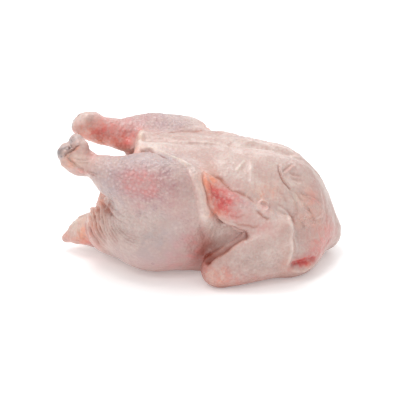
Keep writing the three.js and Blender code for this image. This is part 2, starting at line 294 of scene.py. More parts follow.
def surfaceNets(grid):
    # one vertex in each cell that the surface crosses, one quad round each edge that it crosses
    value, inside = grid.value, grid.value < 0
    corners = [(i, j, k) for i in (0, 1) for j in (0, 1) for k in (0, 1)]
    size = grid.count - 1
    filled = sum(inside[i:size[0] + i, j:size[1] + j, k:size[2] + k].astype(np.int8) for i, j, k in corners)
    active = (filled > 0) & (filled < 8)
    cells = np.argwhere(active)
    number = np.full(active.shape, -1, np.int32)
    number[active] = np.arange(len(cells))
    total, crossings = np.zeros((len(cells), 3)), np.zeros(len(cells))
    for a in corners:
        for b in corners:
            if a > b or sum(abs(p - q) for p, q in zip(a, b)) != 1:
                continue
            va, vb = value[tuple((cells + a).T)], value[tuple((cells + b).T)]
            crosses = (va < 0) != (vb < 0)
            t = np.where(crosses, va / np.where(crosses, va - vb, 1), 0)
            total += (np.array(a) + t[:, None] * np.subtract(b, a)) * crosses[:, None]
            crossings += crosses
    points = grid.low + grid.step * (cells + total / crossings[:, None])
    quads = []
    for axis, (u, v) in enumerate(((1, 2), (2, 0), (0, 1))):
        here = [slice(1, grid.count[i] - 1) for i in range(3)]
        here[axis] = slice(0, grid.count[axis] - 1)
        there = list(here)
        there[axis] = slice(1, grid.count[axis])
        first, second = inside[tuple(here)], inside[tuple(there)]
        base = np.array([s.start for s in here])
        for flip, mask in ((False, first & ~second), (True, ~first & second)):
            edge = np.argwhere(mask) + base
            ring = []
            for du, dv in ((-1, -1), (0, -1), (0, 0), (-1, 0)):
                cell = edge.copy()
                cell[:, u] += du
                cell[:, v] += dv
                ring.append(number[tuple(cell.T)])
            quads.append(np.stack(ring[::-1] if flip else ring, 1))
    return points, np.vstack(quads).astype(np.int64)


grid = makeBird()
points, quads = surfaceNets(grid)
print("bird meshed:", len(points), "points")


# smoothing and skin detail, worked out on the points of the mesh

def edgesOf(quads):
    pairs = np.vstack([quads[:, [i, (i + 1) % 4]] for i in range(4)])
    return np.unique(np.sort(pairs[pairs[:, 0] != pairs[:, 1]], 1), axis=0)


def averageOver(edges, values, count):
    total = np.zeros((count,) + values.shape[1:])
    np.add.at(total, edges[:, 0], values[edges[:, 1]])
    np.add.at(total, edges[:, 1], values[edges[:, 0]])
    near = np.bincount(edges.ravel(), minlength=count)
    return total / near.reshape((-1,) + (1,) * (values.ndim - 1))


def normalsOf(points, quads):
    face = np.cross(points[quads[:, 2]] - points[quads[:, 0]], points[quads[:, 3]] - points[quads[:, 1]])
    normals = np.zeros_like(points)
    for i in range(4):
        np.add.at(normals, quads[:, i], face)
    return normals / np.maximum(np.linalg.norm(normals, axis=1, keepdims=True), 1e-9)


primes = (73856093, 19349663, 83492791)


def lumps(p, size, seed):
    # smooth noise between -1 and 1 with lumps of about this size
    q = p / size + seed * 17.3
    cell = np.floor(q).astype(np.int64)
    t = q - cell
    t = t * t * (3 - 2 * t)
    total = 0
    for corner in range(8):
        bits = [(corner >> 2) & 1, (corner >> 1) & 1, corner & 1]
        key, weight = 0, 1
        for i, prime in enumerate(primes):
            key = key ^ (cell[:, i] + bits[i]) * prime
            weight = weight * (t[:, i] if bits[i] else 1 - t[:, i])
        key = (key ^ (key >> 13)) * 1274126177 & 0x7FFFFFFF
        total = total + weight * ((key % 20011) / 10005 - 1)
    return total


# finer faces where there is detail to carry

def refined(points, quads, chosen):
    # splits the chosen faces in four; their neighbours take up the new corners as fans of triangles,
    # which are kept as quads whose last two corners are the same
    ring = np.sort(np.stack([quads, np.roll(quads, -1, 1)], 2), 2)
    keys = ring[..., 0] * len(points) + ring[..., 1]
    split = np.unique(keys[chosen])
    at = np.minimum(np.searchsorted(split, keys), len(split) - 1)
    has = split[at] == keys
    touched = chosen | has.any(1)
    middles = (points[split // len(points)] + points[split % len(points)]) / 2
    centres = points[quads[touched]].mean(1)
    middle = np.where(has, at + len(points), -1)
    centre = np.full(len(quads), -1)
    centre[touched] = len(points) + len(middles) + np.arange(len(centres))
    faces = [quads[~touched]]
    q, m, c = quads[chosen], middle[chosen], centre[chosen]
    for i in range(4):
        faces.append(np.stack([q[:, i], m[:, i], c, m[:, i - 1]], 1))
    fans = touched & ~chosen
    q, m, c, h = quads[fans], middle[fans], centre[fans], has[fans]
    for i in range(4):
        a, b = q[:, i], q[:, (i + 1) % 4]
        for first, last, where in ((a, b, ~h[:, i]), (a, m[:, i], h[:, i]), (m[:, i], b, h[:, i])):
            faces.append(np.stack([first, last, c, c], 1)[where])
    return np.vstack([points, middles, centres]), np.vstack(faces)


def nearPath(p, line, reach):
    box = np.flatnonzero(np.all((p > line.min(0) - reach) & (p < line.max(0) + reach), axis=1))
    close = np.zeros(len(p), bool)
    close[box] = ((p[box][:, None] - line[None]) ** 2).sum(2).min(1) < reach * reach
    return close


def smoothed(points, edges, pushes):
    # evens out the grid's steps without shrinking, and keeps the flat underside on the table
    flat = points[:, 2] < 0.3
    for push in pushes:
        points = points + push * (averageOver(edges, points, len(points)) - points)
        points[flat, 2] = 0
    points[:, 2] = np.maximum(points[:, 2], 0)
    return points, flat


def seenPath(path, side):
    # the spots of the skin that the camera sees at points of its frame, with Y counted outwards on that side
    spots = []
    for spot in path:
        apart = np.where(facing, np.hypot(*(seen - spot).T), 1e9)
        close = np.flatnonzero(apart < max(1.5, apart.min() + 0.3))
        spots.append(points[close[(deep[close] + apart[close]).argmin()]] * [1, side, 1])
    return spots


def outwardsOf(p):
    return p * [1, 0, 1] + np.abs(p) * [0, 1, 0]


def pathOnSkin(path, side):
    # the path's points laid on the skin, on the bird's left (-1) or right (1) side
    line = smoothPath([(x, y * side, z) for x, y, z in path], 4 * len(path))
    laid = np.array([points[((points - p) ** 2).sum(1).argmin()] for p in line])
    for _ in range(2):
        laid[1:-1] = 0.5 * laid[1:-1] + 0.25 * (laid[:-2] + laid[2:])
    length = np.linalg.norm(np.diff(laid, axis=0), axis=1).sum()
    return smoothPath(laid, max(8, int(length / 0.9)))


view = {
    "distance": 1000,
    "elevation": 24,  # degrees
    "aimHeight": 48,
    "lens": 104.65,
    "sensor": 36,
    "frame": 400,  # pixels across
}

foldShapes = {  # across a fold, s in widths from its line; up to the right of a line that runs down
    "ridge": lambda s: np.exp(-s ** 2),
    "lip": lambda s: np.exp(-((s - 0.75) / 0.9) ** 2) - 1.1 * np.exp(-((s + 0.45) / 0.55) ** 2),
    "band": lambda s: 0.5 * (np.tanh(3 * (s + 1)) - np.tanh(3 * (s - 1))),
    "ripples": lambda s: np.cos(2 * np.pi * s) * np.exp(-(s / 1.9) ** 2),
    "step": lambda s: (np.exp(-(np.maximum(s, 0) / 3.2) ** 2) / (1 + np.exp(-5 * s))
                       - 0.7 * np.exp(-((s + 0.5) / 0.5) ** 2)),
}


def foldAmount(line, side, width, shape, fade):
    # how far each point of the skin is lifted by a fold of height 1
    reach = {"step": 7, "band": 2, "ripples": 4}.get(shape, 3) * width
    near = np.flatnonzero(nearPath(points, line, reach))
    apart = points[near][:, None] - line[None]
    closest = (apart ** 2).sum(2).argmin(1)
    apart = apart[np.arange(len(near)), closest]
    along = np.minimum(closest, len(line) - 1 - closest) / (len(line) - 1)
    ends = np.clip(along / fade, 0, 1)
    tangent = np.gradient(line, axis=0)[closest]
    out = side * np.cross(tangent, normals[near])
    out /= np.maximum(np.linalg.norm(out, axis=1, keepdims=True), 1e-9)
    away = np.linalg.norm(apart, axis=1) * np.sign((apart * out).sum(1))
    amount = np.zeros(len(points))
    amount[near] = foldShapes[shape](away / width) * ends * ends * (3 - 2 * ends)
    return amount


# creases and folds: path, across and down the camera's frame where it sees it, or else in space with Y counted
# outwards; width, height (below zero cuts in), shape, end fade, paint and its strength, the paint being
# painted shade in grooves, a painted highlight on some ridges and the skin's own colour elsewhere; and the
# right and left side's shares, where they aren't 1
folds = {
    "strap": ([(176, 156), (185, 162), (193, 170), (198, 180), (202, 194), (205, 208), (208, 220),
        (213, 232)], 3.8, 1.3, "band", 0.15, "pale", 0.8, 0),
    "strapHollow": ([(183, 163), (190, 172), (194, 184), (198, 198), (200, 212), (202, 226), (205, 240),
        (207, 250)], 2.6, -1.1, "ridge", 0.3, "flush", 0.3, 0),
    "flapCrevice": ([(142, 149.5), (147, 150), (152, 150.3), (158, 152), (163, 154.5), (169, 158)],
        1.5, -2.4, "ridge", 0.2, "crevice", 1.0, 0),
    "flapEdge": ([(140, 146.5), (147, 147), (153, 147.8), (159, 149.5), (165, 152), (171, 155.5),
        (178, 159), (185, 163.5), (191, 169)], 2.0, 2.0, "ridge", 0.1, "fat", 1.0, 0),
    "flapMouth": ([(140, 149.5), (144, 150), (149, 150.5)], 2.4, -2.6, "ridge", 0.3, "crevice", 0.9, 0),
    "farCrevice": ([(150, 134), (158, 132), (166, 131), (178, 130.5), (190, 130), (199, 129), (204, 130)],
        1.6, -1.6, "ridge", 0.15, "crease", 0.6, 1, 0),
    "farStrap": ([(2, 36, 98), (12, 44, 94), (18, 52, 85), (20, 57, 74), (19, 58, 58), (17, 58, 42)],
        3.6, 1.0, "band", 0.2, "fat", 0.5, 1, 0),
    "ventRim": ([(139.5, 150), (139.3, 145), (139.5, 140), (141, 136.5), (144, 134)],
        2.2, 1.4, "ridge", 0.25, "fat", 0.9),
    # a painted highlight along the keel's ridge
    "keelRidge": ([(160, 136), (177, 141), (208, 142), (225, 145), (250, 148), (270, 150), (300, 158),
        (311, 165), (325, 180), (335, 195)], 1.6, 0.8, "ridge", 0.15, "pale", 0.5, 0.6),
    "breastFold": ([(280, 161), (280, 168), (281, 172), (283, 177), (285, 182), (288, 185), (291, 188),
        (293, 191)], 1.4, 2.0, "lip", 0.2, "crease", 0.95, 0.8),
    "breastFoldEnd": ([(292, 190), (297, 192), (301, 197), (305, 202), (308, 208)],
        1.3, -1.0, "ridge", 0.35, "crease", 0.45, 0.8),
    "breastPlait": ([(283, 175), (289, 181), (295, 185), (300, 190)],
        2.0, 1.2, "ridge", 0.35, "pale", 0.5, 0.8),
    "rayOne": ([(284, 175), (288, 171), (293, 166), (298, 165)], 1.5, 1.0, "ridge", 0.35, "flush", 0.3, 0.8),
    "rayTwo": ([(289, 172), (296, 174), (304, 175)], 1.3, -1.1, "ridge", 0.35, "crease", 0.4, 0.8),
    "rayThree": ([(282, 173), (285, 170), (290, 165), (294, 162)],
        1.2, -1.0, "ridge", 0.35, "crease", 0.35, 0.8),
    "rayFour": ([(290, 177), (298, 179), (307, 181)], 1.3, -0.8, "ridge", 0.4, "crease", 0.25, 0.8),
    "rayFive": ([(294, 188), (302, 193), (309, 198), (315, 203)], 1.5, -1.3, "lip", 0.4, "crease", 0.35, 0.8),
    "raySix": ([(287, 190), (293, 197), (297, 205), (300, 215)], 1.5, -1.4, "lip", 0.3, "crease", 0.35, 0.8),
    "raySeven": ([(293, 180), (301, 184), (310, 188)], 1.1, 0.7, "ridge", 0.35, "pale", 0.5, 0.8),
    "rayEight": ([(272, 186), (280, 192), (286, 200), (289, 210)],
        1.5, -1.0, "ridge", 0.35, "crease", 0.3, 0.8),
    "rayNine": ([(300, 202), (308, 209), (313, 217), (316, 226)],
        1.3, -1.3, "lip", 0.35, "crease", 0.35, 0.8),
    "rayTen": ([(297, 216), (302, 223), (306, 231)], 1.3, -1.1, "lip", 0.35, "crease", 0.3, 0.8),
    "rayEleven": ([(303, 196), (311, 196), (319, 201), (325, 209)],
        1.4, -1.2, "lip", 0.35, "flush", 0.4, 0.8),
    "rayTwelve": ([(298, 208), (294, 214), (290, 222)], 1.4, -1.0, "lip", 0.35, "crease", 0.3, 0.8),
    # a painted highlight beside the breast's fold
    "rayThirteen": ([(302, 196), (304, 203), (303, 211)], 1.4, 1.0, "ridge", 0.35, "pale", 0.5, 0.8),
    "breastBand": ([(250, 151), (250, 165), (250, 180), (251, 192)],
        1.1, 0.55, "ridge", 0.3, "pale", 0.6, 0.7),
    "breastBandTwo": ([(253, 151), (253.5, 166), (253.5, 180), (254, 192)],
        0.9, 0.4, "ridge", 0.3, "pale", 0.4, 0.7),
    "breastLine": ([(247, 157), (241, 165), (235, 172)], 1.1, 0.8, "ridge", 0.3, "fat", 0.8, 0.6),
    "drumEdge": ([(100, 196), (104, 202), (108, 209), (114, 215), (120, 220), (130, 224)],
        2.2, 1.0, "lip", 0.3, "crease", 0.3),
    "drumGap": ([(101, 199), (104, 205), (108, 211), (114, 216)], 2.4, -1.5, "ridge", 0.35, "crease", 0.5),
    "drumShade": ([(124, 213), (133, 209), (142, 207), (152, 209)], 4.0, -0.5, "ridge", 0.35, "flush", 0.25),
    "rumpFoldOne": ([(100, 200), (97, 208), (96, 215), (95, 223), (97, 232), (101, 241)],
        1.7, 2.0, "lip", 0.2, "crease", 0.75),
    "rumpFoldTwo": ([(105, 205), (104, 212), (102, 220), (101, 228), (104, 237)],
        1.6, 1.8, "lip", 0.2, "crease", 0.7),
    "rumpRipples": ([(99, 199), (96, 211), (98, 221), (102, 233), (108, 244)],
        5.4, 2.2, "ripples", 0.25, "crease", 0.95),
    "thighRipples": ([(108, 206), (106, 215), (106, 223), (112, 237), (121, 248)],
        3.4, 1.1, "ripples", 0.3, "crease", 0.6),
    "kneeRipples": ([(116, 214), (115, 221), (119, 231), (128, 239), (138, 242), (150, 243)],
        2.7, 0.7, "ripples", 0.35, "crease", 0.3),
    "rumpRim": ([(-84, 2, 53), (-85, 12, 55), (-84, 22, 56), (-81, 32, 59)],
        1.6, 1.0, "ridge", 0.3, "orange", 0.6),
    "tailCrease": ([(87.5, 222), (89, 228), (91, 232), (95, 238), (98, 244), (101, 246)],
        2.0, -2.6, "ridge", 0.25, "crevice", 0.6),
    "tailFoldOne": ([(86, 214), (85, 223), (86, 232), (90, 241)], 1.5, -1.0, "lip", 0.3, "meat", 0.35),
    "tailFoldTwo": ([(80, 217), (78, 225), (79, 234), (82, 240)], 1.6, -0.7, "lip", 0.35, "flush", 0.3),
    "handOutline": ([(205, 172), (203, 177), (205, 189), (207, 195), (209, 205), (212, 210), (216, 217),
        (223, 224), (231, 228), (240, 231), (250, 233)], 1.4, -2.0, "ridge", 0.12, "crevice", 0.55),
    "handRim": ([(206.5, 175), (207, 189), (210, 197), (211.5, 205), (215, 210), (219, 216), (226, 221),
        (234, 224.5), (243, 228)], 1.4, 0.9, "ridge", 0.2, "fat", 0.5),
    "handTop": ([(207, 172), (213, 174), (219, 177), (223, 181), (232, 189), (238, 191), (247, 196),
        (255, 201), (258, 205)], 1.2, -1.2, "ridge", 0.25, "crease", 0.85),
    "handCreaseOne": ([(208, 178), (212, 186), (214, 192), (220, 196), (225, 199), (230, 204)],
        1.1, -1.3, "ridge", 0.2, "meat", 0.8),
    "handCreaseTwo": ([(211, 190), (214, 194), (218, 198), (222, 201), (226, 206), (229, 208)],
        1.0, -1.1, "ridge", 0.25, "meat", 0.7),
    "handCreaseThree": ([(218, 217), (224, 220), (233, 222), (241, 222)],
        0.9, -0.8, "ridge", 0.3, "crease", 0.4),
    "handCreaseFour": ([(225, 214), (233, 217), (241, 217), (245, 213)],
        0.9, -0.7, "ridge", 0.3, "crease", 0.35),
    "handCreaseFive": ([(233, 223), (240, 225), (248, 226), (255, 227), (262, 224)],
        1.1, -1.2, "ridge", 0.25, "crease", 0.6),
    "tendon": ([(224, 192), (233, 200), (243, 209), (252, 217)], 1.8, 0.8, "ridge", 0.3, "pale", 0.4),
    "wedge": ([(250, 233), (243, 236.5), (236, 240.5), (228, 245.5), (221, 250), (214, 254.5), (208, 259),
        (203, 264)], 3.4, -4.2, "ridge", 0.1, "crevice", 1.0),
    "forearmRim": ([(248, 237), (240, 241.5), (231, 247), (223, 252.5), (215, 258), (208, 264)],
        1.5, 0.6, "ridge", 0.15, "orange", 0.45),
    "thumbOver": ([(258, 204), (263, 201), (268, 203), (268, 208), (266, 211)],
        1.1, 1.6, "ridge", 0.15, "pale", 0.4),
    "thumbUnder": ([(258, 208), (262, 214), (266, 218), (271, 221)], 1.4, -2.2, "ridge", 0.2, "crease", 1.0),
    "wristRim": ([(274, 206), (281, 210), (287, 215), (290, 221), (292, 228), (291, 236), (292.5, 244),
        (292, 252), (289, 260), (287, 267)], 1.6, 1.6, "ridge", 0.12, "pale", 0.8),
    "wristCrease": ([(270, 203), (278, 205), (285, 209), (291, 215), (295, 223), (295, 230), (294.5, 237),
        (296.5, 245), (296, 252), (293, 259)], 1.2, -0.7, "ridge", 0.2, "crease", 0.45),
    "forearmOne": ([(222, 262), (236, 258), (250, 252), (264, 243)], 2.4, -0.4, "ridge", 0.35, "", 0),
    "forearmTwo": ([(228, 273), (244, 271), (258, 265), (270, 255)], 2.6, -0.5, "ridge", 0.35, "", 0),
    "neckCut": ([(289.5, 266), (297, 264), (304, 263), (311, 261), (317, 257)],
        2.4, -3.6, "ridge", 0.15, "meat", 0.95),
    "neckCutLip": ([(291, 262), (299, 260), (307, 258), (315, 254)], 1.3, 1.4, "ridge", 0.25, "flush", 0.5),
    "neckSheet": ([(290, 270), (297, 270), (303, 271), (311, 267), (319, 261)],
        2.0, 1.6, "ridge", 0.2, "fat", 0.5),
    "neckStreak": ([(321, 252), (327, 246), (331, 239), (334, 236)], 1.5, -1.0, "ridge", 0.25, "meat", 0.6),
    "sideFold": ([(318, 180), (325, 200), (327, 220), (322, 240)], 2.2, -0.6, "ridge", 0.35, "flush", 0.2),
    "hockEdge": ([(62.5, 158.5), (67, 152.5), (72, 150), (75.5, 145.5), (80.5, 144)],
        1.2, 1.8, "step", 0.15, "crease", 0.5),
    "hockRim": ([(66, 159), (69.5, 154.5), (73.5, 152), (77, 148.5), (82, 146.5)],
        1.3, 0.5, "ridge", 0.2, "orange", 0.55),
    "shankOne": ([(65, 154.5), (72, 163), (79.5, 169), (85.5, 171)], 1.3, -1.2, "lip", 0.25, "flush", 0.6),
    "shankTwo": ([(72, 158.5), (78.5, 161.5), (83.5, 162.5), (91, 160.5)],
        1.3, -1.0, "lip", 0.3, "crease", 0.4),
    "shankThree": ([(84, 169), (90, 172), (94, 175), (98, 178)], 1.2, -0.8, "lip", 0.3, "crease", 0.35),
    # painted shade in the hock's notches
    "hockNotch": ([(66, 150), (69, 147.5), (71.5, 145)], 1.5, -1.6, "ridge", 0.2, "soot", 0.8),
    "hockSplit": ([(60, 150), (64, 148), (68, 146)], 1.8, -1.4, "ridge", 0.2, "soot", 0.6),
    "tailTop": ([(87, 213), (80, 217), (74, 224), (68, 231)], 1.8, 0.9, "lip", 0.3, "crease", 0.25),
    "tailSide": ([(88, 235), (82, 238), (76, 240), (69, 241)], 1.8, -0.8, "lip", 0.35, "orange", 0.3),
}

# bumps of skin where feathers grew, with places, reaches and strengths of the areas where they stand out
pimples = {
    "spacing": 3.5,
    "radius": 1.15,
    "height": 0.42,
    "everywhere": 0.22,
    "above": 6,
    "areas": [
        ((-45, 56, 86), (40, 30, 24), 1.0), ((-45, 36, 104), (36, 22, 12), 0.8),
        ((-72, 52, 96), (18, 18, 14), 1.0), ((-85, 36, 92), (14, 20, 12), 0.6),
        ((45, 70, 25), (40, 16, 22), 0.5),
    ],
}

shadeTowardsTable = {"crease": (0.7, 7), "crevice": (0.75, 3), "shade": (0.6, 30)}  # painted contact shadow at the table and painted shade lower down: strength, height of its fall

# where the skin's colour and grain change, and where painted shade and painted highlight lie, by channel:
# place, reach, strength, and side where it is on one
patches = {
    "dusky": [((-47, 64, 88), (33, 24, 18), 0.9), ((-40, 36, 106), (34, 14, 10), 0.6),
        ((-47, 66, 90), (24, 16, 16), 1.0), ((-54, 22, 101), (7, 7, 5), 0.8, 1),
        ((-40, 68, 20), (38, 18, 20), 0.2)],
    # the fourth is painted shade low on the thigh; the others are the skin's grey
    "ashenAndShade": [((-70, 56, 78), (15, 22, 16), 0.7), ((-45, 52, 106), (36, 24, 7), 0.5),
        ((-22, 66, 45), (26, 20, 26), 0.5), ((-35, 66, 22), (34, 24, 14), 0.5),
        ((30, 57, 71), (14, 8, 6), 0.5)],
    # the first, second and fourth are painted shade low on the thigh and forearm; the rest are the skin's pink
    # and red
    "flush": [((-30, 66, 12), (40, 24, 14), 0.3), ((20, 74, 14), (16, 12, 12), 0.3),
        ((-2, 62, 20), (12, 16, 20), 0.45), ((50, 72, 8), (36, 12, 8), 0.3),
        ((-80, 24, 98), (28, 10, 13), 0.95), ((-45, 66, 92), (14, 13, 11), 0.7),
        ((-50, 63, 88), (18, 14, 13), 0.4), ((-22, 66, 78), (10, 14, 14), 0.25),
        ((-6, 64, 40), (12, 12, 26), 0.3), ((18, 57, 74), (16, 10, 14), 0.85),
        ((30, 62, 61), (12, 8, 8), 0.35), ((100, 44, 22), (16, 16, 10), 0.6),
        ((110, 27, 28), (12, 16, 16), 0.5), ((94, 29, 62), (8, 9, 8), 0.6), ((86, 42, 55), (20, 18, 18), 0.2),
        ((96, 42, 30), (14, 14, 12), 0.4), ((-99, 16, 12), (8, 8, 6), 0.8), ((-117, 2, 13), (4, 8, 5), 0.7),
        ((-88, 28, 30), (9, 14, 12), 0.5), ((-112, 5, 12), (8, 8, 6), 0.5), ((4, 58, 22), (14, 16, 14), 0.4),
        ((30, 58, 42), (10, 10, 9), 0.5), ((-54, 22, 101), (7, 7, 5), 0.4, 1),
        ((-90, 36, 104), (10, 8, 8), 0.4), ((-97, 42, 93), (8, 8, 4), 0.5, -1),
        ((-20, 66, 26), (12, 14, 20), 0.25), ((52, 68, 54), (10, 10, 8), 0.3), ((53, 56, 68), (6, 8, 5), 0.5),
        ((104, 34, 30), (10, 14, 12), 0.65), ((-70, 38, 110), (34, 18, 8), 0.35, 1)],
    "meat": [((20, 59, 70), (10, 8, 9), 1.0), ((13, 56, 78), (8, 8, 9), 0.9), ((88, 57, 18), (14, 9, 5), 0.9),
        ((-84, 21, 101), (15, 8, 6), 0.6), ((-64, 23, 92), (12, 9, 5), 0.5),
        ((-90, 20, 15), (8, 12, 6), 0.6)],
    "orange": [((7, 52, 87), (8, 14, 12), 1.0), ((9, 60, 74), (6, 8, 10), 0.6),
        ((14, 61, 65), (7, 7, 6), 0.9), ((89, 57, 16), (4, 6, 3), 0.8), ((82, 45, 50), (8, 9, 6), 0.2),
        ((98, 34, 42), (14, 14, 18), 0.2), ((92, 34, 68), (12, 10, 9), 0.25),
        ((58, 45, 76), (14, 12, 8), 0.25), ((-97, 22, 100), (9, 8, 9), 0.4), ((-80, 22, 92), (22, 9, 5), 0.5),
        ((-62, 26, 86), (8, 8, 5), 0.7), ((-84, 24, 54), (9, 15, 9), 0.4),
        ((-87, 32, 42), (10, 16, 15), 0.35), ((-99, 14, 22), (6, 8, 10), 0.55),
        ((-94, 16, 25), (6, 10, 8), 0.5), ((-112, 5, 14), (8, 9, 8), 0.4),
        ((-86, 21, 98), (22, 9, 11), 0.3, 1), ((-106, 41, 99), (6, 6, 5), 0.5, -1),
        ((-50, 15, 101), (4, 10, 4), 0.6), ((12, 74, 12), (12, 12, 10), 0.3),
        ((70, 62, 30), (5, 9, 26), 0.2)],
    "fat": [((78, 40, 67), (6, 8, 5), 0.5), ((25, 60, 46), (8, 12, 5), 0.3),
        ((-104, 2, 27), (10, 14, 8), 0.7), ((-99, 39, 100), (10, 9, 7), 0.55, -1)],
    # painted shade under the drumstick's edge, in the hollow under the wing and low on the thigh
    "crease": [((-84, 28, 52), (6, 8, 9), 0.2), ((-77, 42, 61), (6, 7, 6), 0.7),
        ((16, 62, 29), (10, 10, 6), 0.8), ((4, 58, 37), (7, 8, 9), 0.35), ((-12, 66, 8), (18, 12, 9), 0.3)],
    # cream of the skin; the last is painted light on the breast's far right
    "pale": [((24, 57, 43), (9, 10, 6), 0.3), ((14, 60, 42), (7, 12, 8), 0.5),
        ((-102, 25, 115), (9, 9, 5), 0.8, 1), ((4, 62, 72), (9, 9, 17), 0.85),
        ((-86, 28, 50), (9, 12, 12), 0.4), ((-44, 8, 104), (20, 16, 8), 0.85, -1),
        ((86, 40, 70), (20, 16, 30), 0.4)],
    "bone": [((-113, 33, 104), (6, 8, 7), 0.95), ((-104, 27, 114), (8, 7, 4), 0.95, -1),
        ((-111, 27, 109), (5, 8, 6), 0.9, 1)],
    # near-black spots on the knuckle
    "soot": [((-102, 28, 114), (3.5, 4, 2.5), 0.8, -1), ((-97, 27, 115), (2.5, 3, 2), 0.6, -1),
        ((-115, 36, 106), (2, 3, 3), 0.7, -1), ((-113, 39, 110), (3, 3, 2), 0.5, -1),
        ((-113, 38, 107), (3, 3, 4), 0.5)],
    # deep painted shade in the gap between the forearm and the thigh
    "crevice": [((7, 60, 22), (9, 10, 13), 1.0), ((0, 62, 12), (7, 9, 8), 0.6)],
    # painted shade in the hollow under the wing, low on the thigh and forearm and round the near ankle; the
    # third darkens the bruise, its own colour
    "shade": [((2, 62, 28), (14, 12, 16), 0.7), ((14, 58, 50), (12, 10, 12), 0.1),
        ((-44, 66, 90), (15, 12, 9), 0.3), ((-4, 62, 48), (12, 12, 26), 0.75),
        ((-102, 35, 100), (16, 18, 14), 0.8), ((-34, 69, 32), (38, 16, 20), 0.6),
        ((20, 76, 24), (24, 14, 12), 0.55)],
    "coarse": [((-50, 56, 80), (46, 34, 42), 0.9), ((42, 74, 22), (46, 18, 24), 0.6),
        ((92, 40, 40), (18, 24, 28), 0.8), ((20, 60, 66), (20, 14, 20), 0.5),
        ((-104, 0, 20), (16, 22, 16), 0.8)],
    "mottled": [((90, 38, 48), (20, 18, 26), 0.35), ((56, 46, 74), (16, 14, 10), 0.6),
        ((12, 72, 14), (14, 14, 12), 0.5), ((-86, 28, 44), (14, 20, 20), 0.5),
        ((-106, 0, 20), (14, 20, 14), 0.4), ((-100, 26, 102), (14, 14, 12), 0.5)],
}


edges = edgesOf(quads)
points, onTable = smoothed(points, edges, body["firstEvening"])
normals = normalsOf(points, quads)
tilt, focal = math.radians(view["elevation"]), view["lens"] / view["sensor"] * view["frame"]
ahead, upwards = np.array([0, math.cos(tilt), -math.sin(tilt)]), np.array([0, math.sin(tilt), math.cos(tilt)])
eyeAt = [0, 0, view["aimHeight"]] - view["distance"] * ahead
toSkin = points - eyeAt
deep = toSkin @ ahead
seen = view["frame"] / 2 + focal / deep[:, None] * np.stack([toSkin[:, 0], -toSkin @ upwards], 1)
facing = (normals * toSkin).sum(1) < 0
paths = {name: fold[0] if len(fold[0][0]) == 3 else seenPath(fold[0], 1 if name.startswith("far") else -1)
         for name, fold in folds.items()}
lines = {(name, side): pathOnSkin(path, side) for name, path in paths.items() for side in (-1, 1)}
centres = points[quads].mean(1)
chosen = np.zeros(len(quads), bool)
widths, more = body["finerAlong"]
for (name, side), line in lines.items():
    chosen |= nearPath(centres, line, widths * folds[name][1] + more)
for at, radii, strength in pimples["areas"]:
    chosen |= (((outwardsOf(centres) - at) / radii) ** 2).sum(1) < 1.0
points, quads = refined(points, quads, chosen)
edges = edgesOf(quads)
points, onTable = smoothed(points, edges, body["lastEvening"])
normals = normalsOf(points, quads)
print("skin refined:", len(quads), "faces")

channels = {name: np.zeros(len(points)) for name in (*patches, "inner", "pimple")}
wobble = np.stack([lumps(points, 7, 30 + i) for i in range(3)], 1)  # makes folds and patches uneven
lift = np.zeros(len(points))
for (name, side), line in lines.items():
    path, width, height, shape, fade, colour, strength, *shares = folds[name]
    rightShare, leftShare = (shares + [1, 1])[:2]
    share = rightShare if side > 0 else leftShare
    amount = share * foldAmount(line, side, width, shape, fade) * (0.85 + 0.3 * wobble[:, 0])
    lift += amount * height
    if colour:
        # light colours, painted highlight among them, go on the raised side; dark ones, painted shade among
        # them, on the sunk side
        raised = amount if colour in ("fat", "pale") else -amount
        painted = np.abs(amount) if shape in ("ridge", "band") else np.maximum(0, raised)
        tint = np.clip(strength * painted * (1 + 0.4 * wobble[:, 1]), 0, 1)
        channels[colour] = np.maximum(channels[colour], tint)
points = points + normals * lift[:, None]
points[:, 2] = np.where(onTable, 0, np.maximum(points[:, 2], 0))
print("folds drawn:", len(folds))

uneven = {  # fat and meat under the skin: lump size, height, place, reach
    "everywhere": [(20, 0.7), (8, 0.5), (3.5, 0.24)],
    "bone": (3, 0.7),
    "rougher": [
        (4.5, 0.9, (-106, 0, 20), (13, 20, 14)),
        (4.0, 0.5, (94, 36, 40), (16, 16, 22)),
        (2.6, 0.32, (92, 38, 48), (16, 16, 24)),
        (5.0, 0.4, (40, 74, 24), (40, 14, 20)),
        (3.5, 0.5, (-100, 38, 100), (12, 10, 10)),
        (15, 5.0, (-74, 0, 68), (16, 32, 26)),
    ],
    "seatedBelow": 6,  # it fades out towards the table
}
normals = normalsOf(points, quads)
lift = sum(height * lumps(points, size, seed + 1) for seed, (size, height) in enumerate(uneven["everywhere"]))


def patchAmount(p, at, radii):
    return np.exp(-(((p - np.array(at)) / np.array(radii)) ** 2).sum(1))


outwards = outwardsOf(points)
for channel, spots in patches.items():
    for at, reach, strength, *side in spots:
        amount = strength * patchAmount(outwards, at, reach) * (1 + 0.45 * wobble[:, 0] + 0.3 * wobble[:, 2])
        amount = np.where(points[:, 1] * sum(side) < 0, 0, amount)
        channels[channel] = 1 - (1 - channels[channel]) * (1 - np.clip(amount, 0, 1))
# painted contact shadow along the table in the crease and crevice masks, and painted shade on the lower skin
low = {name: strength * np.exp(-(points[:, 2] / high) ** 2)
       for name, (strength, high) in shadeTowardsTable.items()}
for name in ("crease", "crevice"):
    channels[name] = np.maximum(channels[name], low[name])
channels["shade"] = 1 - (1 - channels["shade"]) * (1 - low["shade"])
cavityDepth = -limb(points.T, trunk["cavity"], steps=30)
channels["inner"] = np.clip((cavityDepth + 1.0) / 2, 0, 1)


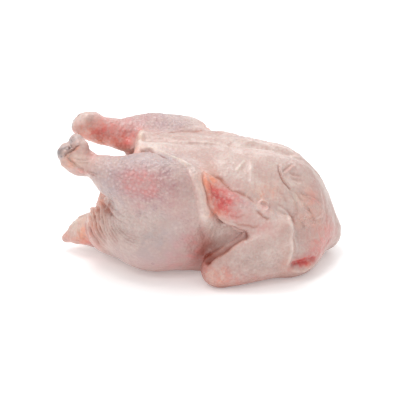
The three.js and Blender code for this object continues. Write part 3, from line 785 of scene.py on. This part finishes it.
def scatter(order, spacing):
    # picks points no closer than the spacing, in the order given
    taken, cells = [], {}
    for i in order:
        x, y, z = points[i]
        cell = int(x // spacing), int(y // spacing), int(z // spacing)
        close = (cells.get((cell[0] + a, cell[1] + b, cell[2] + c), ())
                 for a in (-1, 0, 1) for b in (-1, 0, 1) for c in (-1, 0, 1))
        if all((x - p[0]) ** 2 + (y - p[1]) ** 2 + (z - p[2]) ** 2 > spacing ** 2
               for near in close for p in near):
            cells.setdefault(cell, []).append((x, y, z))
            taken.append(i)
    return np.array(taken)


bare = (points[:, 2] > pimples["above"]) & (channels["inner"] < 0.1) & (channels["bone"] < 0.4)
order = np.flatnonzero(bare)
order = order[np.argsort(points[order, 0] * 0.8 + points[order, 2] * 0.6)]
pits = points[scatter(order, pimples["spacing"])]
tree = kdtree.KDTree(len(pits))
for i, p in enumerate(pits):
    tree.insert(p, i)
tree.balance()
found = [tree.find(p)[1:] for p in points]
nearest, away = np.array([f[0] for f in found]), np.array([f[1] for f in found])
strong = np.full(len(points), pimples["everywhere"])
for at, radii, strength in pimples["areas"]:
    strong = np.maximum(strong, strength * patchAmount(outwards, at, radii))
size = 0.75 + 0.5 * (nearest * 17 % 7) / 6  # each its own size and strength
dots = np.exp(-(away / pimples["radius"] / size) ** 2)
channels["pimple"] = dots * strong * (0.2 + 0.8 * (nearest * 37 % 11) / 10)
lift = lift * np.clip(points[:, 2] / uneven["seatedBelow"], 0, 1) + pimples["height"] * channels["pimple"]
for size, height, at, radii in uneven["rougher"]:
    lift += height * lumps(points, size, 9) * patchAmount(outwards, at, radii)
size, height = uneven["bone"]
lift += height * lumps(points, size, 8) * channels["bone"]
points = points + normals * lift[:, None]
points[:, 2] = np.where(onTable, 0, np.maximum(points[:, 2], 0))
print("skin painted,", len(pits), "pimples")


bird = bpy.data.meshes.new("chickenSkin")
vertices = points * mm - np.array([middleX * mm, 0, 0])
bird.from_pydata(vertices.tolist(), [], [q[:3] if q[2] == q[3] else q for q in quads.tolist()])
bird.update()
for name, amount in channels.items():
    layer = bird.attributes.new(name, "FLOAT", "POINT")
    layer.data.foreach_set("value", amount.astype(np.float32))
bird.polygons.foreach_set("use_smooth", [True] * len(bird.polygons))
chicken = bpy.data.objects.new("chickenBody", bird)
bpy.context.scene.collection.objects.link(chicken)
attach(chicken, "root")
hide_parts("chicken")
print("bird built:", len(bird.polygons), "faces")


# materials

class Wire:
    # a shader socket that can be reckoned with like a number
    tree = None

    def __init__(self, socket):
        self.socket = socket

    @classmethod
    def node(cls, kind, settings=None, inputs=None, output=0):
        made = cls.tree.nodes.new(kind)
        for key, value in (settings or {}).items():
            setattr(made, key, value)
        for key, value in (inputs or {}).items():
            socket = made.inputs[key]
            if isinstance(value, Wire):
                cls.tree.links.new(value.socket, socket)
            elif isinstance(value, tuple) and len(value) == 3 and socket.type == "RGBA":
                socket.default_value = (*value, 1)
            else:
                socket.default_value = value
        return cls(made.outputs[output]) if len(made.outputs) else made

    def maths(self, operation, *others, clamp=False):
        inputs = dict(enumerate((self, *others)))
        return Wire.node("ShaderNodeMath", {"operation": operation, "use_clamp": clamp}, inputs)

    def __add__(self, other):
        return self.maths("ADD", other)

    __radd__ = __add__

    def __sub__(self, other):
        return self.maths("SUBTRACT", other)

    def __mul__(self, other):
        return self.maths("MULTIPLY", other)

    __rmul__ = __mul__

    def clipped(self):
        return self.maths("ADD", 0.0, clamp=True)

    def smooth(self, low, high):
        return Wire.node("ShaderNodeMapRange", {"interpolation_type": "SMOOTHSTEP"},
                         {"Value": self, "From Min": low, "From Max": high})


def mixColour(factor, first, second):
    return Wire.node("ShaderNodeMix", {"data_type": "RGBA"}, {0: factor, 6: first, 7: second}, 2)


def noise(where, scale, detail=2.0, rough=0.5, distortion=0.0):
    return Wire.node("ShaderNodeTexNoise", None, {"Vector": where, "Scale": scale, "Detail": detail,
                                                  "Roughness": rough, "Distortion": distortion})


def mask(name):
    return Wire.node("ShaderNodeAttribute", {"attribute_name": name}, output=2)


def newMaterial(name):
    material = bpy.data.materials.new(name)
    material.use_nodes = True
    material.node_tree.nodes.clear()
    Wire.tree = material.node_tree
    return material


def finishMaterial(shader):
    Wire.node("ShaderNodeOutputMaterial", None, {"Surface": shader})


skin = {
    "base": (0.565, 0.41, 0.365),
    "light": (0.645, 0.515, 0.465),
    "pink": (0.56, 0.31, 0.285),
    "shade": (0.42, 0.28, 0.245),
    "dusky": (0.37, 0.215, 0.225),
    # grey of the skin, which is also painted shade low on the thigh
    "ashenAndShade": (0.48, 0.42, 0.425),
    # pink red of the skin, which is also painted shade low on the thigh and forearm
    "flush": (0.68, 0.27, 0.25),
    "orange": (0.82, 0.33, 0.21),
    "meat": (0.60, 0.10, 0.09),
    "fat": (0.78, 0.66, 0.56),
    # cream of the skin, which is also a painted highlight on ridges and painted light on the far right of the
    # breast
    "pale": (0.76, 0.64, 0.58),
    "bone": (0.62, 0.50, 0.48),
    "boneSpot": (0.16, 0.12, 0.12),
    "inner": (0.40, 0.15, 0.11),
    "pimple": (0.80, 0.66, 0.655),
    # painted shade in creases and grooves, and a painted contact shadow along the table
    "crease": (0.42, 0.13, 0.08),
    # deeper painted shade in gaps and slits, and a painted contact shadow right at the table
    "crevice": (0.27, 0.05, 0.025),
    # near black: painted shade in the hock's notches, and dark spots on its knuckle
    "soot": (0.09, 0.06, 0.06),
    "subsurface": 0.15,
    "depth": 1.3 * mm,  # that light reaches into it
    "roughness": (0.22, 0.40),
    "wetFilm": 0.12,
    "relief": 2.6 * mm,
}

grain = {  # scale, detail, roughness, distortion
    "broad": (28, 3, 0.55, 0.6),
    "mottle": (120, 3, 0.6, 0.3),
    "fine": (520, 2, 0.5),
    "flecks": (330, 3, 0.6),
    "patchy": (170, 4, 0.65),
    "rusty": (230, 4, 0.6),
    "fatty": (190, 4, 0.6, 0.8),
    "spots": (260, 2, 0.5),
    "wet": (75, 3, 0.6),
}


def makeSkin():
    material = newMaterial("rawSkin")
    where = Wire.node("ShaderNodeTexCoord", output=3)
    broad, mottle, fine, flecks, patchy, rusty, fatty, spots, wet = (noise(where, *g) for g in grain.values())
    pebbles = Wire.node("ShaderNodeTexVoronoi", {"feature": "SMOOTH_F1"},
                        {"Vector": where, "Scale": 400, "Smoothness": 0.4, "Randomness": 0.9})
    tone = mixColour(broad.smooth(0.38, 0.66), skin["base"], skin["light"])
    tone = mixColour(mottle.smooth(0.50, 0.72) * 0.35, tone, skin["pink"])
    tone = mixColour(fine.smooth(0.46, 0.62) * 0.4, tone, skin["pink"])
    tone = mixColour(flecks.smooth(0.52, 0.66) * 0.25, tone, skin["pale"])
    strength = 0.5 + patchy.smooth(0.36, 0.64) * 0.8
    # the skin's own colours, with painted shade and painted highlight in some of their masks
    for name in ("shade", "dusky", "ashenAndShade", "flush", "fat", "pale", "orange", "meat"):
        tone = mixColour((mask(name) * strength).clipped(), tone, skin[name])
    tone = mixColour(mask("mottled") * rusty.smooth(0.50, 0.60) * 0.45, tone, skin["orange"])
    tone = mixColour(mask("mottled") * fatty.smooth(0.52, 0.60) * 0.6, tone, skin["fat"])
    tone = mixColour((mask("pimple") * (0.2 + mottle * 0.75)).clipped(), tone, skin["pimple"])
    # painted shade in the creases, grooves and gaps, and along the table
    for name in ("crease", "crevice"):
        tone = mixColour((mask(name) * 0.9).clipped(), tone, skin[name])
    bone = mixColour(spots.smooth(0.56, 0.64) * 0.7, skin["bone"], skin["boneSpot"])
    tone = mixColour(mask("bone").smooth(0.25, 0.75), tone, bone)
    # near black: painted shade in the hock's notches, and dark spots on the knuckle
    tone = mixColour(mask("soot").clipped(), tone, skin["soot"])
    flesh = mixColour(mottle.smooth(0.4, 0.7), skin["inner"], skin["meat"])
    tone = mixColour(mask("inner") * 0.9, tone, flesh)
    low, high = skin["roughness"]
    roughness = low + (high - low) * wet
    wrinkle = Wire.node("ShaderNodeTexWave", {"wave_type": "BANDS", "bands_direction": "DIAGONAL"},
                        {"Vector": where, "Scale": 46, "Distortion": 9.0, "Detail": 3.0, "Detail Scale": 1.6})
    height = (mottle * 0.3 + fine * 0.3 - pebbles * 0.4) * (0.2 + mask("coarse")) + wrinkle * 0.03
    bump = Wire.node("ShaderNodeBump", None, {"Strength": 1.0, "Distance": skin["relief"], "Height": height})
    finishMaterial(Wire.node("ShaderNodeBsdfPrincipled", {"subsurface_method": "RANDOM_WALK"}, {
        "Base Color": tone, "Roughness": roughness, "Normal": bump,
        "Subsurface Weight": skin["subsurface"], "Subsurface Radius": (1.0, 0.38, 0.24),
        "Subsurface Scale": skin["depth"], "IOR": 1.45, "Specular IOR Level": 0.6,
        "Coat Weight": skin["wetFilm"], "Coat Roughness": 0.22}))
    return material


chicken.data.materials.append(makeSkin())
print("skin finished")


studio = {
    "floor": (0.93, 0.93, 0.93),
    "roughness": (0.42, 0.04),
    "glow": 0.24,  # the floor is lit from below, as a light table is
    "world": 0.7,
    "above": (7.6, 0.7, (-0.25, 0.15, 1.25), (0.0, 0.0, 0.05)),  # watts, size, place, aim
    "glint": (1.2, 0.12, (-0.6, -0.6, 1.0), (0.0, 0.0, 0.05)),
    "front": (1.0, 0.8, (-0.7, -1.0, 0.75), (0.0, 0.0, 0.05)),
    "back": (2.2, 0.7, (0.4, 1.0, 0.7), (0.0, 0.0, 0.06)),
}


def makeFloor():
    plane = bpy.data.meshes.new("floor")
    plane.from_pydata([(-4, -4, 0), (4, -4, 0), (4, 4, 0), (-4, 4, 0)], [], [(0, 1, 2, 3)])
    floor = bpy.data.objects.new("floor", plane)
    bpy.context.scene.collection.objects.link(floor)
    material = newMaterial("paleFloor")
    where = Wire.node("ShaderNodeTexCoord", output=3)
    least, more = studio["roughness"]
    finishMaterial(Wire.node("ShaderNodeBsdfPrincipled", None, {
        "Base Color": studio["floor"], "Roughness": least + more * noise(where, 40),
        "Emission Color": (1.0, 1.0, 1.0), "Emission Strength": studio["glow"]}))
    plane.materials.append(material)


def makeLamp(name):
    watts, size, place, aim = studio[name]
    light = bpy.data.lights.new(name, "AREA")
    light.energy, light.size = watts, size
    lamp = bpy.data.objects.new(name, light)
    lamp.location = place
    toAim = np.subtract(aim, place)
    lamp.rotation_euler = (math.atan2(math.hypot(toAim[0], toAim[1]), -toAim[2]), 0,
                           math.atan2(-toAim[0], toAim[1]))
    bpy.context.scene.collection.objects.link(lamp)


makeFloor()
for name in ("above", "glint", "front", "back"):
    makeLamp(name)
world = bpy.data.worlds.new("studio")
world.use_nodes = True
world.node_tree.nodes["Background"].inputs["Color"].default_value = (1, 1, 1, 1)
world.node_tree.nodes["Background"].inputs["Strength"].default_value = studio["world"]
bpy.context.scene.world = world
bpy.context.scene.view_settings.view_transform = "Standard"
print("studio lit")

camera = bpy.data.cameras.new("camera")
camera.lens, camera.sensor_width = view["lens"], view["sensor"]
eye = bpy.data.objects.new("camera", camera)
eye.location = (eyeAt - np.array([middleX, 0, 0])) * mm
eye.rotation_euler = (math.pi / 2 - tilt, 0, 0)
bpy.context.scene.collection.objects.link(eye)
bpy.context.scene.camera = eye
